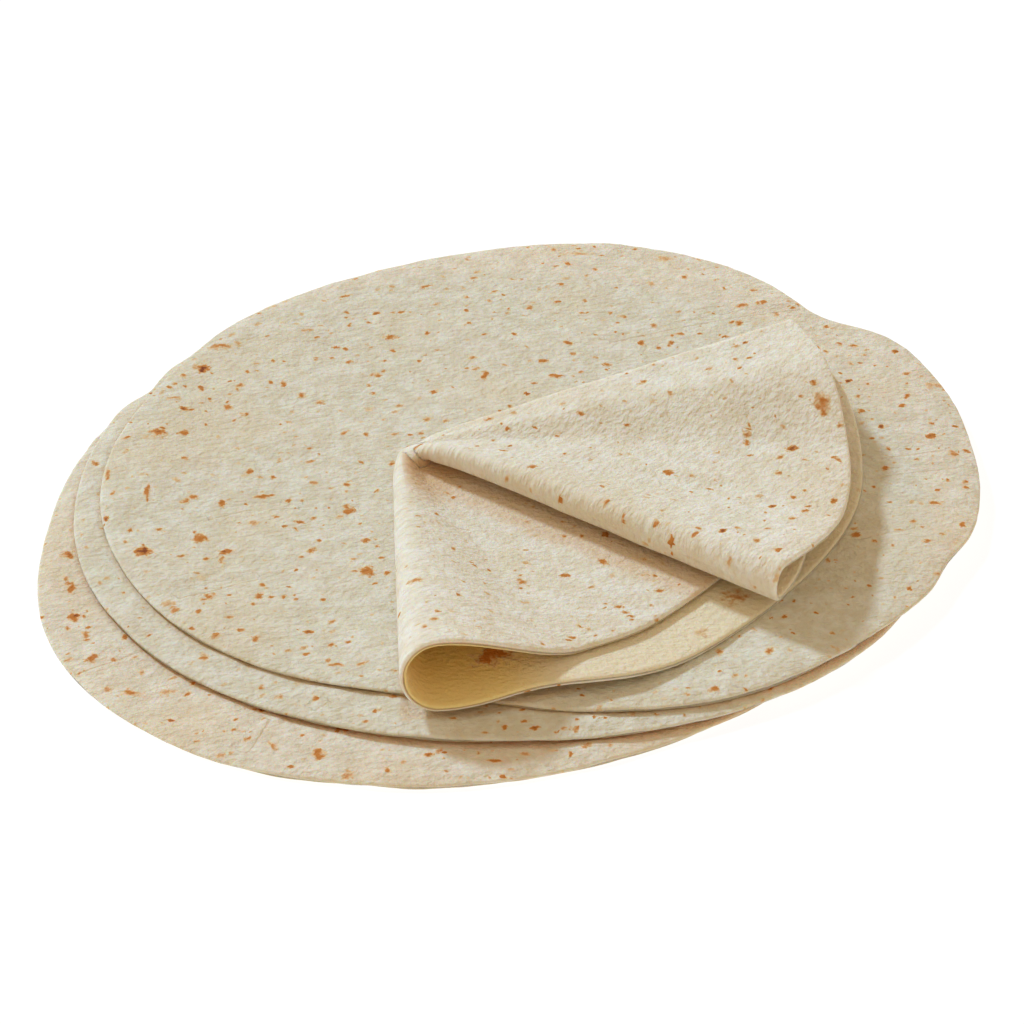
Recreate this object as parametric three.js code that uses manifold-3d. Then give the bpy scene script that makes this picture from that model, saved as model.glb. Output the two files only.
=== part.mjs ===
// A stack of soft flour tortillas: three lie flat, each a little off the one below,
// and a fourth, folded in half and in half again, lies loosely on top.
// Units are millimetres and degrees, with +Z up and the table at Z = 0.

import * as THREE from 'three';
import Module from 'manifold-3d';
import { mergeVertices } from 'three/addons/utils/BufferGeometryUtils.js';

// Driving dimensions
const THICKNESS = 1.9;
const GAP = 0.3;
const LAYER = THICKNESS + GAP;
const EDGE_ROUNDING = 0.6;
const STACK_MIDDLE = [1, 7.8];

// The three flat rounds. A wave is [lobes round the rim, height, direction of its first crest].
// A dent is [direction, depth, half width in degrees], and bulges where its depth is below zero.
const FLAT_ROUNDS = [
  {
    name: 'tortilla_bottom',
    centre: [-17.6, -17.6],
    radius: 117.1,
    waves: [[1, 2.4, 157], [2, 1.2, 155], [3, 1.8, -2], [4, 1.9, -179], [5, 1.1, -108]],
    dents: [[182, 0.9, 14], [-104, 1.0, 7]],
    colour: 0xd2cab2,
  },
  {
    name: 'tortilla_middle',
    centre: [-1.4, 4.4],
    radius: 122.7,
    waves: [[1, 1.6, -155], [2, 1.1, -149], [3, 1.8, -93], [4, 0.6, -151]],
    dents: [[152, 2.2, 4]],
    colour: 0xd4ccb5,
  },
  {
    name: 'tortilla_top',
    centre: [9.2, 18.1],
    radius: 126.1,
    waves: [[2, 2.3, 121], [3, 3.0, -110], [4, 0.5, 65], [5, 1.4, 17], [7, 0.9, -157]],
    dents: [[45, 6.4, 8.4], [35, -3.7, 9.7], [-25, 2.1, 5], [19, -1.3, 9], [-100, 1.9, 5.4]],
    colour: 0xd0c8b1,
  },
];
const COLUMNS = 84;
const RING_SHARES = [0, 0.22, 0.44, 0.64, 0.8, 0.91];

// A round that reaches past the rim of the one below hangs down a little there.
const DROOP_START = 4;
const DROOP_SPAN = 34;
const DROOP_SHARE = 0.3;

// Everything above the bottom round shares one gentle swell.
const SWELL_HEIGHT = 0.32;
const SWELL_LENGTH = [37, 29];
const SWELL_PHASE = 0.8;

// The folded round. Its fold lines all run out from one corner, near the sheet's middle.
const CORNER = [-33.3, 11.6];
const LEFT_FOLD = -87.7;
const FRONT_FOLD = -37.3;
const REAR_FOLD = 25.5;
const CORNER_OFFSET = 10.4;
const CORNER_OFFSET_DIRECTION = 18;
const FOLDED_ROUND = {
  name: 'tortilla_folded',
  radius: 121,
  waves: [[2, 1.2, 155], [3, 3.0, -142], [4, 4.9, 13], [5, 1.5, 134], [6, 1.1, -28]],
  dents: [[-69, 4.7, 8.5]],
  colour: 0xd6ceb8,
};

// Each fold's roll widens along its line. A flare is that growth for each millimetre of length.
const LEFT_FLARE = { width: 0.068, height: 0.066 };
const FRONT_FLARE = { width: 0.021, height: 0.031 };
const REAR_FLARE_WIDTH = 0.006;
const LEFT_ROLL_SPAN = 21;
const FRONT_ROLL_SPAN = 20;

// The lowest flap curls up towards its right-hand rim and sinks a little again to the rear fold.
// Beside the left fold it also lifts slightly off the round below.
const CURL_RISE = 0.085;
const CURL_START = -3;
const CURL_PEAK = 14;
const CURL_REAR_SHARE = 0.87;
const FRONT_LIFT = { height: 0.024, start: 4, span: 35 };

// The crests of the left fold and of the upper flap's front fold puff up towards the corner.
// The front one rises from the corner and then fades, each over a length along its fold.
// The left one is highest at the corner, and also fades over a turn beside its fold.
const FRONT_PUFF = { up: 7.5, rise: 13, fade: 70, lowerShare: 0.75, rearShare: 0.2 };
const LEFT_PUFF = { up: 5, fade: 24, span: 30 };

// The flaps spread slightly from each other towards the rim.
const LOWER_SPREAD = 0.003;
const INNER_SPREAD = 0.003;
const UPPER_SPREAD = 0.008;

// The solid knuckle where the four layers meet at the corner, and how square its profile is.
const KNUCKLE_RADIUS = 3.6;
const KNUCKLE_HEIGHT = 9.2;
const KNUCKLE_SQUARENESS = { up: 2.2, out: 2.2 };
const KNUCKLE_SIDES = 20;
const KNUCKLE_STEPS = 10;

// The sheet's own lattice starts this far from the corner, inside the knuckle.
const SHEET_START = 3.2;
const REACH_SHARES = [0, 0.12, 0.3, 0.5, 0.7, 0.88];
const FLAP_STEPS = { lower: 30, second: 26, third: 14, top: 20 };
const ROLL_STEPS = { left: 12, rearInner: 6, front: 10, rearOuter: 8 };

const WELD_DISTANCE = 1e-4;

const radians = THREE.MathUtils.degToRad;
const ease = (value) => THREE.MathUtils.smoothstep(value, 0, 1);
const heading = (angle) => new THREE.Vector3(Math.cos(radians(angle)), Math.sin(radians(angle)), 0);
const leftOf = (angle) => new THREE.Vector3(-Math.sin(radians(angle)), Math.cos(radians(angle)), 0);
const steps = (count) => Array.from({ length: count + 1 }, (_, index) => index / count);

function waveSum(waves, angle) {
  const wave = ([lobes, height, crest]) => height * Math.cos(radians(lobes * angle - crest));
  return waves.reduce((sum, next) => sum + wave(next), 0);
}

function rimRadius(round, angle) {
  let radius = round.radius + waveSum(round.waves, angle);
  for (const [direction, depth, width] of round.dents) {
    const turn = THREE.MathUtils.euclideanModulo(angle - direction + 180, 360) - 180;
    radius -= depth * Math.exp(-((turn / width) ** 2));
  }
  return radius;
}

// How much of a round's thickness still carries what lies over the point x, y.
function support(round, x, y) {
  const [dx, dy] = [x - round.centre[0], y - round.centre[1]];
  const angle = THREE.MathUtils.radToDeg(Math.atan2(dy, dx));
  const beyond = Math.hypot(dx, dy) - rimRadius(round, angle);
  return 1 - DROOP_SHARE * ease((beyond - DROOP_START) / DROOP_SPAN);
}

function swell(x, y) {
  const across = Math.sin(x / SWELL_LENGTH[0] + y / (2 * SWELL_LENGTH[1]) + SWELL_PHASE);
  const along = Math.cos(y / SWELL_LENGTH[1] - x / (3 * SWELL_LENGTH[0]));
  return SWELL_HEIGHT * (1 + across * along);
}

// The height of a flat round's underside above the point x, y.
function underside(level, x, y) {
  if (level === 0) {
    return 0;
  }
  const below = FLAT_ROUNDS.slice(0, level);
  return swell(x, y) + below.reduce((sum, round) => sum + LAYER * support(round, x, y), 0);
}

// A closed skin over a lattice of points. Its rows either wrap round or end in two poles.
function latticeGeometry(rows, wrap) {
  const positions = [];
  const starts = rows.map((row) => {
    const start = positions.length / 3;
    row.forEach((point) => positions.push(point.x, point.y, point.z));
    return start;
  });
  const indices = [];
  const last = wrap ? rows.length : rows.length - 1;
  for (let upper = 0; upper < last; upper += 1) {
    const lower = (upper + 1) % rows.length;
    const columns = Math.max(rows[upper].length, rows[lower].length);
    for (let column = 0; column < columns; column += 1) {
      const next = (column + 1) % columns;
      const a = starts[upper] + column;
      const b = starts[upper] + next;
      const c = starts[lower] + column;
      const d = starts[lower] + next;
      if (rows[upper].length === 1) {
        indices.push(starts[upper], c, d);
      } else if (rows[lower].length === 1) {
        indices.push(a, starts[lower], b);
      } else {
        indices.push(a, c, d, a, d, b);
      }
    }
  }
  const geometry = new THREE.BufferGeometry();
  geometry.setAttribute('position', new THREE.Float32BufferAttribute(positions, 3));
  geometry.setIndex(indices);
  return geometry;
}

function flatRoundGeometry(round, level) {
  const ring = (share, inset, height) => Array.from({ length: share === 0 ? 1 : COLUMNS }, (_, column) => {
    const angle = (360 * column) / COLUMNS;
    const place = heading(angle).multiplyScalar(share * (rimRadius(round, angle) - inset));
    const x = place.x + round.centre[0];
    const y = place.y + round.centre[1];
    return new THREE.Vector3(x, y, underside(level, x, y) + height);
  });
  const face = (height) => [
    ...RING_SHARES.map((share) => ring(share, 0, height)),
    ring(1, EDGE_ROUNDING, height),
  ];
  const rim = ring(1, 0, THICKNESS / 2);
  return latticeGeometry([...face(0), rim, ...face(THICKNESS).reverse()], false);
}

// How steeply the lowest flap rises from the corner in the direction of an angle.
function curl(angle) {
  const rise = ease((angle - CURL_START) / (CURL_PEAK - CURL_START));
  const sink = 1 - (1 - CURL_REAR_SHARE) * ease((angle - CURL_PEAK) / (REAR_FOLD - CURL_PEAK));
  const along = THREE.MathUtils.clamp((angle - LEFT_FOLD - FRONT_LIFT.start) / FRONT_LIFT.span, 0, 1);
  return CURL_RISE * rise * sink + FRONT_LIFT.height * Math.sin(Math.PI * along) ** 2;
}

// A ray of the sheet starts near the corner and runs straight out to the rim.
// In a fold the rays turn over through half a circle, from its bottom to its top.
function foldRays(fold, count) {
  const { angle, outward, inset, radius, width, height, floor, rise } = fold;
  return steps(count).map((share) => {
    const turn = Math.PI * (share - 0.5);
    const back = 1 - Math.cos(turn);
    const up = 1 + Math.sin(turn);
    const start = outward.clone().multiplyScalar(-inset - radius * back);
    start.z = floor + radius * up;
    const run = heading(angle).addScaledVector(outward, -width * back);
    run.z = rise + height * up;
    return { start, run, frontPuff: 0, leftPuff: 0 };
  });
}

// Between two folds the rays turn evenly from the end of one to the start of the other,
// and so do their shares of both puffs.
function flapRays(from, to, count, slope) {
  const angleOf = (ray) => THREE.MathUtils.radToDeg(Math.atan2(ray.run.y, ray.run.x));
  const lengthOf = (ray) => Math.hypot(ray.run.x, ray.run.y);
  return steps(count).map((share) => {
    const angle = THREE.MathUtils.lerp(angleOf(from), angleOf(to), share);
    const length = THREE.MathUtils.lerp(lengthOf(from), lengthOf(to), share);
    const start = from.start.clone().lerp(to.start, share);
    const run = heading(angle).multiplyScalar(length);
    run.z = slope(angle);
    const frontPuff = THREE.MathUtils.lerp(from.frontPuff, to.frontPuff, ease(share));
    const leftPuff = from.leftPuff * (1 - ease((angle - angleOf(from)) / LEFT_PUFF.span));
    return { start, run, frontPuff, leftPuff };
  });
}

function sheetRays() {
  const floor = THICKNESS / 2;
  const radius = LAYER / 2;
  const rear = { angle: REAR_FOLD, outward: leftOf(REAR_FOLD), width: REAR_FLARE_WIDTH };
  const leftFold = foldRays({
    angle: LEFT_FOLD, outward: leftOf(LEFT_FOLD).negate(), inset: 0, radius, ...LEFT_FLARE, floor, rise: 0,
  }, ROLL_STEPS.left);
  const frontFold = foldRays({
    angle: FRONT_FOLD, outward: leftOf(FRONT_FOLD).negate(), inset: 0, radius, ...FRONT_FLARE,
    floor: floor + 2 * LAYER, rise: curl(FRONT_FOLD) + LOWER_SPREAD + INNER_SPREAD,
  }, ROLL_STEPS.front);
  leftFold.forEach((ray, index) => {
    ray.leftPuff = ease(index / ROLL_STEPS.left);
  });
  frontFold.forEach((ray, index) => {
    ray.frontPuff = THREE.MathUtils.lerp(FRONT_PUFF.lowerShare, 1, ease(index / ROLL_STEPS.front));
  });
  const rearInner = foldRays({
    ...rear, inset: LAYER, radius, height: INNER_SPREAD / 2, floor: floor + LAYER,
    rise: curl(REAR_FOLD) + LOWER_SPREAD,
  }, ROLL_STEPS.rearInner);
  const rearOuter = foldRays({
    ...rear, inset: 0, radius: 3 * radius, height: (LOWER_SPREAD + INNER_SPREAD + UPPER_SPREAD) / 2, floor,
    rise: curl(REAR_FOLD),
  }, ROLL_STEPS.rearOuter).reverse();
  rearOuter.forEach((ray, index) => {
    ray.frontPuff = FRONT_PUFF.rearShare * (1 - ease(index / ROLL_STEPS.rearOuter));
  });

  const leftEnd = LEFT_FOLD + THREE.MathUtils.radToDeg(Math.atan(LEFT_FLARE.width));
  const frontEnd = FRONT_FOLD + THREE.MathUtils.radToDeg(Math.atan(FRONT_FLARE.width));
  const secondSlope = (angle) => {
    const away = ease((angle - leftEnd) / LEFT_ROLL_SPAN);
    return curl(angle) + THREE.MathUtils.lerp(2 * LEFT_FLARE.height, LOWER_SPREAD, away);
  };
  const thirdSlope = (angle) => curl(angle) + LOWER_SPREAD + INNER_SPREAD;
  const topSlope = (angle) => {
    const away = ease((angle - frontEnd) / FRONT_ROLL_SPAN);
    return thirdSlope(angle) + THREE.MathUtils.lerp(2 * FRONT_FLARE.height, UPPER_SPREAD, away);
  };
  const sections = [
    flapRays(rearOuter.at(-1), leftFold[0], FLAP_STEPS.lower, curl),
    leftFold,
    flapRays(leftFold.at(-1), rearInner[0], FLAP_STEPS.second, secondSlope),
    rearInner,
    flapRays(rearInner.at(-1), frontFold[0], FLAP_STEPS.third, thirdSlope),
    frontFold,
    flapRays(frontFold.at(-1), rearOuter[0], FLAP_STEPS.top, topSlope),
    rearOuter,
  ];
  return sections.flatMap((section) => section.slice(0, -1));
}

// The reach of each ray follows the sheet's own outline, laid out flat round the corner.
function addReach(rays) {
  const tips = rays.map(({ start, run }) => start.clone().addScaledVector(run, FOLDED_ROUND.radius));
  const sides = tips.map((tip, index) => tip.distanceTo(tips[(index + 1) % tips.length]));
  const total = sides.reduce((sum, side) => sum + side, 0);
  let walked = 0;
  rays.forEach((ray, index) => {
    const angle = REAR_FOLD - (360 * walked) / total;
    const offset = CORNER_OFFSET * Math.cos(radians(angle - CORNER_OFFSET_DIRECTION));
    ray.reach = rimRadius(FOLDED_ROUND, angle) + offset;
    ray.run.normalize();
    walked += sides[index];
  });
  return rays;
}

function foldedSheetGeometry() {
  const rays = addReach(sheetRays());
  const middle = (index, distance) => {
    const { start, run, frontPuff, leftPuff } = rays[(index + rays.length) % rays.length];
    const beyond = Math.max(0, distance - SHEET_START);
    const place = start.clone().addScaledVector(run, distance);
    const crest = (1 - Math.exp(-beyond / FRONT_PUFF.rise)) * Math.exp(-beyond / FRONT_PUFF.fade);
    place.z += FRONT_PUFF.up * frontPuff * crest;
    place.z += LEFT_PUFF.up * leftPuff * Math.exp(-beyond / LEFT_PUFF.fade);
    return place;
  };
  const row = (share, inset, side) => rays.map(({ run, reach }, index) => {
    const distance = THREE.MathUtils.lerp(SHEET_START, reach, share) - inset;
    const along = middle(index + 1, distance).sub(middle(index - 1, distance));
    const normal = along.cross(run).normalize();
    const point = middle(index, distance).addScaledVector(normal, (side * THICKNESS) / 2);
    const x = point.x + CORNER[0];
    const y = point.y + CORNER[1];
    return new THREE.Vector3(x, y, point.z + 3 * LAYER + swell(x, y));
  });
  const face = (side) => [...REACH_SHARES.map((share) => row(share, 0, side)), row(1, EDGE_ROUNDING, side)];
  return latticeGeometry([...face(1), row(1, 0, 0), ...face(-1).reverse()], true);
}

// The knuckle is a rounded drum that touches both outer rolls.
function knuckleGeometry() {
  const half = KNUCKLE_HEIGHT / 2;
  const profile = steps(KNUCKLE_STEPS).map((share) => {
    const height = -Math.cos(Math.PI * share);
    const reach = (1 - Math.abs(height) ** KNUCKLE_SQUARENESS.up) ** (1 / KNUCKLE_SQUARENESS.out);
    return new THREE.Vector2(KNUCKLE_RADIUS * reach, half * height);
  });
  const bisector = (LEFT_FOLD + REAR_FOLD) / 2;
  const inward = (KNUCKLE_RADIUS - THICKNESS / 2) / Math.sin(radians((REAR_FOLD - LEFT_FOLD) / 2));
  const place = heading(bisector).multiplyScalar(inward);
  const x = place.x + CORNER[0];
  const y = place.y + CORNER[1];
  return new THREE.LatheGeometry(profile, KNUCKLE_SIDES)
    .rotateX(Math.PI / 2)
    .translate(x, y, 3 * LAYER + half + swell(x, y));
}

// Turns a closed geometry's faces outwards if its lattice ran the other way.
function facingOut(geometry) {
  const index = geometry.index.array;
  const place = geometry.attributes.position;
  const corner = (slot) => new THREE.Vector3().fromBufferAttribute(place, index[slot]);
  let volume = 0;
  for (let slot = 0; slot < index.length; slot += 3) {
    volume += corner(slot).dot(corner(slot + 1).cross(corner(slot + 2)));
  }
  if (volume < 0) {
    for (let slot = 0; slot < index.length; slot += 3) {
      [index[slot + 1], index[slot + 2]] = [index[slot + 2], index[slot + 1]];
    }
  }
  return geometry;
}

const wasm = await Module();
wasm.setup();

function solidFrom(geometry) {
  geometry.deleteAttribute('normal');
  geometry.deleteAttribute('uv');
  const merged = facingOut(mergeVertices(geometry, WELD_DISTANCE));
  const mesh = new wasm.Mesh({
    numProp: 3,
    vertProperties: new Float32Array(merged.attributes.position.array),
    triVerts: new Uint32Array(merged.index.array),
  });
  return new wasm.Manifold(mesh);
}

function geometryFrom(solid) {
  const mesh = solid.getMesh();
  const geometry = new THREE.BufferGeometry();
  geometry.setAttribute('position', new THREE.BufferAttribute(mesh.vertProperties, 3));
  geometry.setIndex(new THREE.BufferAttribute(mesh.triVerts, 1));
  return geometry;
}

function tortilla(name, geometry, colour) {
  geometry.computeVertexNormals();
  const material = new THREE.MeshStandardMaterial({ color: colour, roughness: 0.85, metalness: 0 });
  const mesh = new THREE.Mesh(geometry, material);
  mesh.name = name;
  return mesh;
}

const stack = new THREE.Group();
FLAT_ROUNDS.forEach((round, level) => {
  stack.add(tortilla(round.name, facingOut(flatRoundGeometry(round, level)), round.colour));
});
const foldedSolid = solidFrom(foldedSheetGeometry()).add(solidFrom(knuckleGeometry()));
stack.add(tortilla(FOLDED_ROUND.name, geometryFrom(foldedSolid), FOLDED_ROUND.colour));
stack.position.set(-STACK_MIDDLE[0], -STACK_MIDDLE[1], 0);

export default stack;
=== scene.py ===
"""A loose stack of soft flour tortillas: three lie flat, and a fourth, folded in quarters, lies on top.

Plan sizes are in millimetres on the stack's own plan, as in the solids, and become metres in mesh_of.
"""

import math

import bpy
import numpy as np
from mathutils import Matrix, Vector
from mathutils.bvhtree import BVHTree

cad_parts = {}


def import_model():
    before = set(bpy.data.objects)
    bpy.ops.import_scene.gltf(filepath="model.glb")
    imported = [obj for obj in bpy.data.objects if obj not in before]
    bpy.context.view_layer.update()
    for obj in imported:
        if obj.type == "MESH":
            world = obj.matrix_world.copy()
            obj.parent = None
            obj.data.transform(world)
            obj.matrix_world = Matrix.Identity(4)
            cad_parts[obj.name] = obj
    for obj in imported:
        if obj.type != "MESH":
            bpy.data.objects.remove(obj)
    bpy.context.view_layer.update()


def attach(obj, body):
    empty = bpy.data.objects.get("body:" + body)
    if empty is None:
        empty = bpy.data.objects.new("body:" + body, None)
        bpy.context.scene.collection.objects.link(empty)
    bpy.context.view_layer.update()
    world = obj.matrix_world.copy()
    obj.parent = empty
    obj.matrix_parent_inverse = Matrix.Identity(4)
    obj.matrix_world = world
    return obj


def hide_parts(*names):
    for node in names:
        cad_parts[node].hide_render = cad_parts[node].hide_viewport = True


MM = 0.001

# Bread sizes
THICKNESS = 1.9
GAP = 0.3
LAYER = THICKNESS + GAP
STACK_MIDDLE = np.array([1.0, 7.8, 0.0])

# A wave is (lobes round the rim, height, direction of its first crest).
# A dent is (direction, depth, half width in degrees), and bulges where its depth is below zero.
FLAT_ROUNDS = {
    "bottom_round": {
        "node": "tortilla_bottom",
        "centre": (-17.6, -17.6),
        "radius": 117.1,
        "waves": [(1, 2.4, 157), (2, 1.2, 155), (3, 1.8, -2), (4, 1.9, -179), (5, 1.1, -108)],
        "dents": [(182, 0.9, 14), (-104, 1.0, 7)],
    },
    "middle_round": {
        "node": "tortilla_middle",
        "centre": (-1.4, 4.4),
        "radius": 122.7,
        "waves": [(1, 1.6, -155), (2, 1.1, -149), (3, 1.8, -93), (4, 0.6, -151)],
        "dents": [(152, 2.2, 4)],
    },
    "top_round": {
        "node": "tortilla_top",
        "centre": (9.2, 18.1),
        "radius": 126.1,
        "waves": [(2, 2.3, 121), (3, 3.0, -110), (4, 0.5, 65), (5, 1.4, 17), (7, 0.9, -157)],
        "dents": [(45, 6.4, 8.4), (35, -3.7, 9.7), (-25, 2.1, 5), (19, -1.3, 9), (-100, 1.9, 5.4)],
    },
}
DROOP_START = 4
DROOP_SPAN = 34
DROOP_SHARE = 0.3
SWELL_HEIGHT = 0.32
SWELL_LENGTH = (37, 29)
SWELL_PHASE = 0.8

# The folded round. Its fold lines all run out from one corner, near the sheet's middle.
CORNER = (-33.3, 11.6)
LEFT_FOLD = -87.7
FRONT_FOLD = -37.3
REAR_FOLD = 25.5
CORNER_OFFSET = 10.4
CORNER_OFFSET_DIRECTION = 18
FOLDED_ROUND = {
    "radius": 121,
    "waves": [(2, 1.2, 155), (3, 3.0, -142), (4, 4.9, 13), (5, 1.5, 134), (6, 1.1, -28)],
    "dents": [(-69, 4.7, 8.5)],
}
LEFT_FLARE = {"width": 0.068, "height": 0.066}
FRONT_FLARE = {"width": 0.021, "height": 0.031}
REAR_FLARE_WIDTH = 0.006
LEFT_ROLL_SPAN = 21
FRONT_ROLL_SPAN = 20
CURL_RISE = 0.085
CURL_START = -3
CURL_PEAK = 14
CURL_REAR_SHARE = 0.87
FRONT_LIFT = {"height": 0.024, "start": 4, "span": 35}
FRONT_PUFF = {"up": 7.5, "rise": 13, "fade": 70, "lower_share": 0.75, "rear_share": 0.2}
LEFT_PUFF = {"up": 5.0, "fade": 24, "span": 30}
LOWER_SPREAD = 0.003
INNER_SPREAD = 0.003
UPPER_SPREAD = 0.008

KNUCKLE_RADIUS = 4.6
KNUCKLE_HEIGHT = 9.4
KNUCKLE_SQUARENESS = {"up": 2.8, "out": 2.2}
MELT_REACH = 14
MELT_CORE = 6
MELT_LENGTH = 2.2
MELT_TURNS = 260
SHEET_START = 3.2

# How finely the skins are divided
FLAT_CELLS = 204
RIM_CROWDING = 0.35
RIM_STEPS = 8
RIM_FALL = 0.55
RIM_FALL_SPAN = 6
FLAP_STEPS = {"lower": 130, "second": 150, "third": 50, "top": 130}
ROLL_STEPS = {"left": 40, "rear_inner": 10, "front": 28, "rear_outer": 22}
SHEET_ROWS = 76
ROW_CROWDING = 0.3
KNUCKLE_STEPS = 32
KNUCKLE_SIDES = 72

# Seeds of the baked relief: the lowest flat round's, counted up through the flat ones, and the folded one's
FLAT_SEED = 2.0
FOLDED_SEED = 9.4

# Painted shade on the folded round, darker or yellower, and a painted-light rim that keeps it pale: distances
# in mm, turns in degrees, the roll in columns
ROLL_PAINTED_SHADE_REACH = 24
CORNER_PAINTED_SHADE = {"start": 14, "span": 22, "turn_start": -4, "turn_span": 16}
FLAP_PAINTED_SHADE = {"share": 0.6, "start": 5, "span": 7}
PAINTED_LIGHT_RIM = {"start": -12, "span": 15, "share": 0.75}

# Painted shade on a flat round: darker beside the round above it, and on its underside
CONTACT_PAINTED_SHADE = {"share": 0.5, "reach": 1.5, "underside": 0.1}

# The eye of the photograph, and marks placed by where they show in it, in its pixels
PHOTO_SIZE = 1024
FOCAL_PIXELS = 4212
SENSOR_WIDTH = 36
EYE = Vector((-0.001, -1.0206, 0.64354))
AIM = Vector((-0.001, -0.0078, 0.0))

# Where the light comes from, in degrees round from +X and above the table, and how wide it looks
LIGHT_SIDE = 133
LIGHT_HEIGHT = 39
LIGHT_WIDTH = 8
LIGHT_STRENGTH = 2.15
LIGHT_COLOUR = (0.6, 0.8, 1.0)
ROOM_COLOUR = (0.50, 0.41, 0.29, 1)
ROOM_STRENGTH = 1.13
TABLE_REACH = 6.0
TABLE_GREY = (0.2, 0.2, 0.2, 1)
TABLE_GLOW = 0.88

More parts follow.
